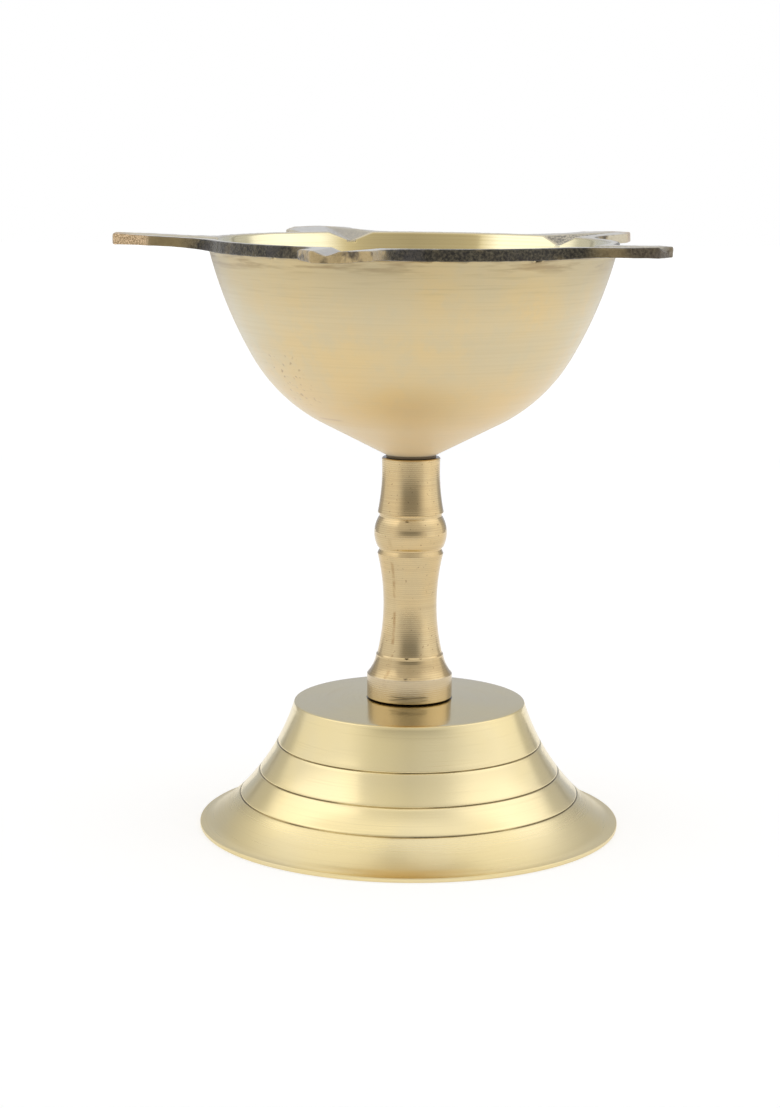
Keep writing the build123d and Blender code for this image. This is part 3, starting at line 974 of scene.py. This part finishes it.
# Studio. The booth's levels and the softboxes go by azimuth from the viewer, in degrees to the right.
# The booth's other azimuths are in radians. A height or an azimuth of three numbers is a band: its
# middle, its half width and its soft edge. One of two numbers is a soft edge alone.
BOOTH_RADIUS = 500.0
BOOTH_HEIGHT = 750.0
BOOTH_SETBACK = 160.0
BOOTH_COLUMNS = 96
BOOTH_LEVELS = (
    (-180, 0.60), (-146, 0.66), (-142, 0.32), (-139, 0.58), (-126, 0.60), (-118, 0.92), (-94, 1.0),
    (-60, 1.02), (-35, 0.78), (0, 0.66), (35, 0.79), (60, 1.02), (90, 1.15), (118, 1.05),
    (125, 0.62), (139, 0.58), (142, 0.32), (146, 0.66), (180, 0.60),
)
MOUTH_HEIGHT = (106.0, 22.0, 50.0)
MOUTH_AZIMUTH = (0.3, 0.85)
MOUTH_TINT = (0.1, 0.1, 0.1)
BACK_AZIMUTH = (2.5, 2.6)
BACK_TOP = (280.0, 420.0)
BACK_TINT = (0.53, 0.56, 0.64)
UPPER_WALL = (250.0, 500.0)
CEILING = (500.0, 720.0)
CEILING_TINT = (1.0, 1.0, 1.0)
PANEL_HEIGHT = (390.0, 70.0, 110.0)
PANEL_LEFT_EDGE = (-0.84, -0.80)
PANEL_RIGHT_EDGE = (0.4, 1.0)
PANEL_END = (1.9, 2.3)
STRIP_AZIMUTH = (1.15, 0.2, 0.15)
STRIP_TOP = (110.0, 150.0)
ROOM_LEVEL = 0.88
FLOOR_HALF = 3000.0
FLOOR_SHADE = 0.6
FLOOR_GLOW = (0.49, 0.58)
FLOOR_GLOW_REACH = (150.0, 600.0)
SOFTBOXES = (("left_softbox", -65.0), ("right_softbox", 62.0))
SOFTBOX_ELEVATION = 60.0
SOFTBOX_DISTANCE = 1000.0
SOFTBOX_SIZE = (700.0, 500.0)
SOFTBOX_RADIANCE = 0.06


def glow(finish, color, strength):
    """Makes a material give light instead of reflecting it."""
    emission = finish.add("ShaderNodeEmission")
    finish.link(color, emission.inputs["Color"])
    finish.feed(emission, None, strength)
    output = next(n for n in finish.tree.nodes if n.type == "OUTPUT_MATERIAL")
    finish.link(emission.outputs[0], output.inputs["Surface"])
    finish.tree.nodes.remove(finish.shader)


def booth_levels(finish, azimuth):
    """The walls' brightness on the way round."""
    ramp = finish.add("ShaderNodeValToRGB")
    finish.link(finish.math("MULTIPLY_ADD", azimuth, 1 / math.tau, 0.5), ramp.inputs["Fac"])
    stops = ramp.color_ramp.elements
    stops.remove(stops[1])
    for number, (angle, value) in enumerate(BOOTH_LEVELS):
        stop = stops[0] if number == 0 else stops.new(angle / 360 + 0.5)
        stop.position = angle / 360 + 0.5
        stop.color = (value, value, value, 1)
    return ramp.outputs["Color"]


def booth_panels(finish, azimuth, ahead, z):
    """How much brighter the panels high on both sides are, and a low strip on the right."""
    left = finish.span(azimuth, *PANEL_LEFT_EDGE, 1.0, 0.0)
    right = finish.span(azimuth, *PANEL_RIGHT_EDGE, 0.0, 0.6)
    panels = finish.product(
        finish.math("ADD", left, right),
        finish.span(ahead, *PANEL_END, 0.36, 0.0),
        finish.band(z, *PANEL_HEIGHT),
    )
    strip = finish.product(finish.band(azimuth, *STRIP_AZIMUTH), finish.span(z, *STRIP_TOP, 0.12, 0.0))
    return finish.math("ADD", panels, strip)


def booth():
    """A round light tent with a dark mouth on the viewer's side. Only reflections and light see it."""
    walls = skin("booth", turned([(BOOTH_RADIUS, 0), (BOOTH_RADIUS, BOOTH_HEIGHT)], BOOTH_COLUMNS), {})
    walls.location.y = BOOTH_SETBACK * MM
    walls.visible_camera = False
    finish = Finish("booth_walls")
    _, x, y, z = finish.place()
    azimuth = finish.math("ARCTAN2", x, finish.product(finish.math("ADD", y, BOOTH_SETBACK), -1.0))
    ahead = finish.math("ABSOLUTE", azimuth)
    back = finish.product(finish.span(ahead, *BACK_AZIMUTH), finish.span(z, *BACK_TOP, 1.0, 0.0))
    mouth = finish.product(finish.band(z, *MOUTH_HEIGHT), finish.span(ahead, *MOUTH_AZIMUTH, 0.58, 0.0))
    lit = finish.mix(back, booth_levels(finish, azimuth), BACK_TINT)
    lit = finish.mix(mouth, lit, MOUTH_TINT)
    lit = finish.mix(finish.span(z, *CEILING), lit, CEILING_TINT)
    panels = booth_panels(finish, azimuth, ahead, z)
    glow(finish, lit, finish.math("ADD", finish.span(z, *UPPER_WALL, 1.0, 1.12), panels))
    walls.data.materials.append(finish.material)


def around_viewer(azimuth, elevation, distance):
    """A point seen from the lamp's middle, with the azimuth counted from the viewer to the right."""
    a = math.radians(azimuth)
    e = math.radians(elevation)
    return Vector((math.sin(a) * math.cos(e), -math.cos(a) * math.cos(e), math.sin(e))) * distance


def softbox(name, azimuth):
    """A flat lamp that faces the lamp's middle, as bright as its radiance says."""
    target = Vector((0, 0, RIM_TOP / 2 * MM))
    width, height = (side * MM for side in SOFTBOX_SIZE)
    light = bpy.data.lights.new(name, "AREA")
    light.shape = "RECTANGLE"
    light.size = width
    light.size_y = height
    light.energy = SOFTBOX_RADIANCE * 4 * width * height
    box = bpy.data.objects.new(name, light)
    box.location = target + around_viewer(azimuth, SOFTBOX_ELEVATION, SOFTBOX_DISTANCE * MM)
    box.rotation_euler = (target - box.location).to_track_quat("-Z", "Y").to_euler()
    bpy.context.scene.collection.objects.link(box)


def studio_world():
    """A white room, dimmer where it only gives light."""
    world = bpy.data.worlds.new("studio")
    world.use_nodes = True
    tree = world.node_tree
    tree.nodes.clear()
    room = tree.nodes.new("ShaderNodeBackground")
    room.inputs["Color"].default_value = (ROOM_LEVEL, ROOM_LEVEL, ROOM_LEVEL, 1)
    white = tree.nodes.new("ShaderNodeBackground")
    white.inputs["Color"].default_value = (1, 1, 1, 1)
    rays = tree.nodes.new("ShaderNodeLightPath")
    seen = rays.outputs["Is Camera Ray"]
    for kind in ("Is Glossy Ray", "Is Transmission Ray"):
        either = tree.nodes.new("ShaderNodeMath")
        either.operation = "MAXIMUM"
        tree.links.new(seen, either.inputs[0])
        tree.links.new(rays.outputs[kind], either.inputs[1])
        seen = either.outputs[0]
    choice = tree.nodes.new("ShaderNodeMixShader")
    tree.links.new(seen, choice.inputs["Fac"])
    tree.links.new(room.outputs[0], choice.inputs[1])
    tree.links.new(white.outputs[0], choice.inputs[2])
    output = tree.nodes.new("ShaderNodeOutputWorld")
    tree.links.new(choice.outputs[0], output.inputs["Surface"])
    bpy.context.scene.world = world


def floor():
    """A wide white table top that keeps a faint shadow of the lamp."""
    half = FLOOR_HALF * MM
    corners = [(-half, -half, 0), (half, -half, 0), (half, half, 0), (-half, half, 0)]
    mesh = bpy.data.meshes.new("floor")
    mesh.from_pydata(corners, [], [(0, 1, 2, 3)])
    plane = bpy.data.objects.new("floor", mesh)
    bpy.context.scene.collection.objects.link(plane)
    finish = Finish("floor_white")
    finish.paint(metallic=0.0, roughness=0.9)
    shader = finish.shader.inputs
    shader["Base Color"].default_value = (FLOOR_SHADE, FLOOR_SHADE, FLOOR_SHADE, 1)
    shader["Emission Color"].default_value = (1, 1, 1, 1)
    shader["Specular IOR Level"].default_value = 0.0
    _, x, y, _ = finish.place()
    shine = finish.span(finish.from_axis(x, y), *FLOOR_GLOW_REACH, *FLOOR_GLOW)
    finish.link(shine, shader["Emission Strength"])
    mesh.materials.append(finish.material)


def camera():
    """The camera that the photograph was taken from, as fitted to it."""
    lens = bpy.data.cameras.new("camera")
    lens.sensor_width = SENSOR
    lens.lens = FOCAL_PIXELS * SENSOR / IMAGE_HEIGHT
    lens.clip_start = 0.01
    lens.clip_end = 50
    view = bpy.data.objects.new("camera", lens)
    view.matrix_world = (
        Matrix.Translation(Vector(CAMERA_PLACE) * MM)
        @ Matrix.Rotation(math.pi / 2 - CAMERA_DIP, 4, "X")
        @ Matrix.Rotation(CAMERA_ROLL, 4, "Z")
    )
    bpy.context.scene.collection.objects.link(view)
    bpy.context.scene.camera = view


steel = fastener_steel()
stand_in(base_piece(), "base", "base", base_brass())
stand_in(stem_piece(), "stem", "stem", stem_brass())
stand_in(bowl_piece(), "bowl", "bowl", bowl_brass())
stand_in(stud_piece("base_stud_threaded", "base_stud"), "base_stud", "base_stud", steel)
stand_in(stud_piece("bowl_stud_threaded", "bowl_stud"), "bowl_stud", "bowl_stud", steel)
for fastener in ("base_washer", "base_nut"):
    dress(fastener, steel)

camera()
floor()
booth()
studio_world()
for name, azimuth in SOFTBOXES:
    softbox(name, azimuth)
bpy.context.scene.view_settings.view_transform = "Standard"
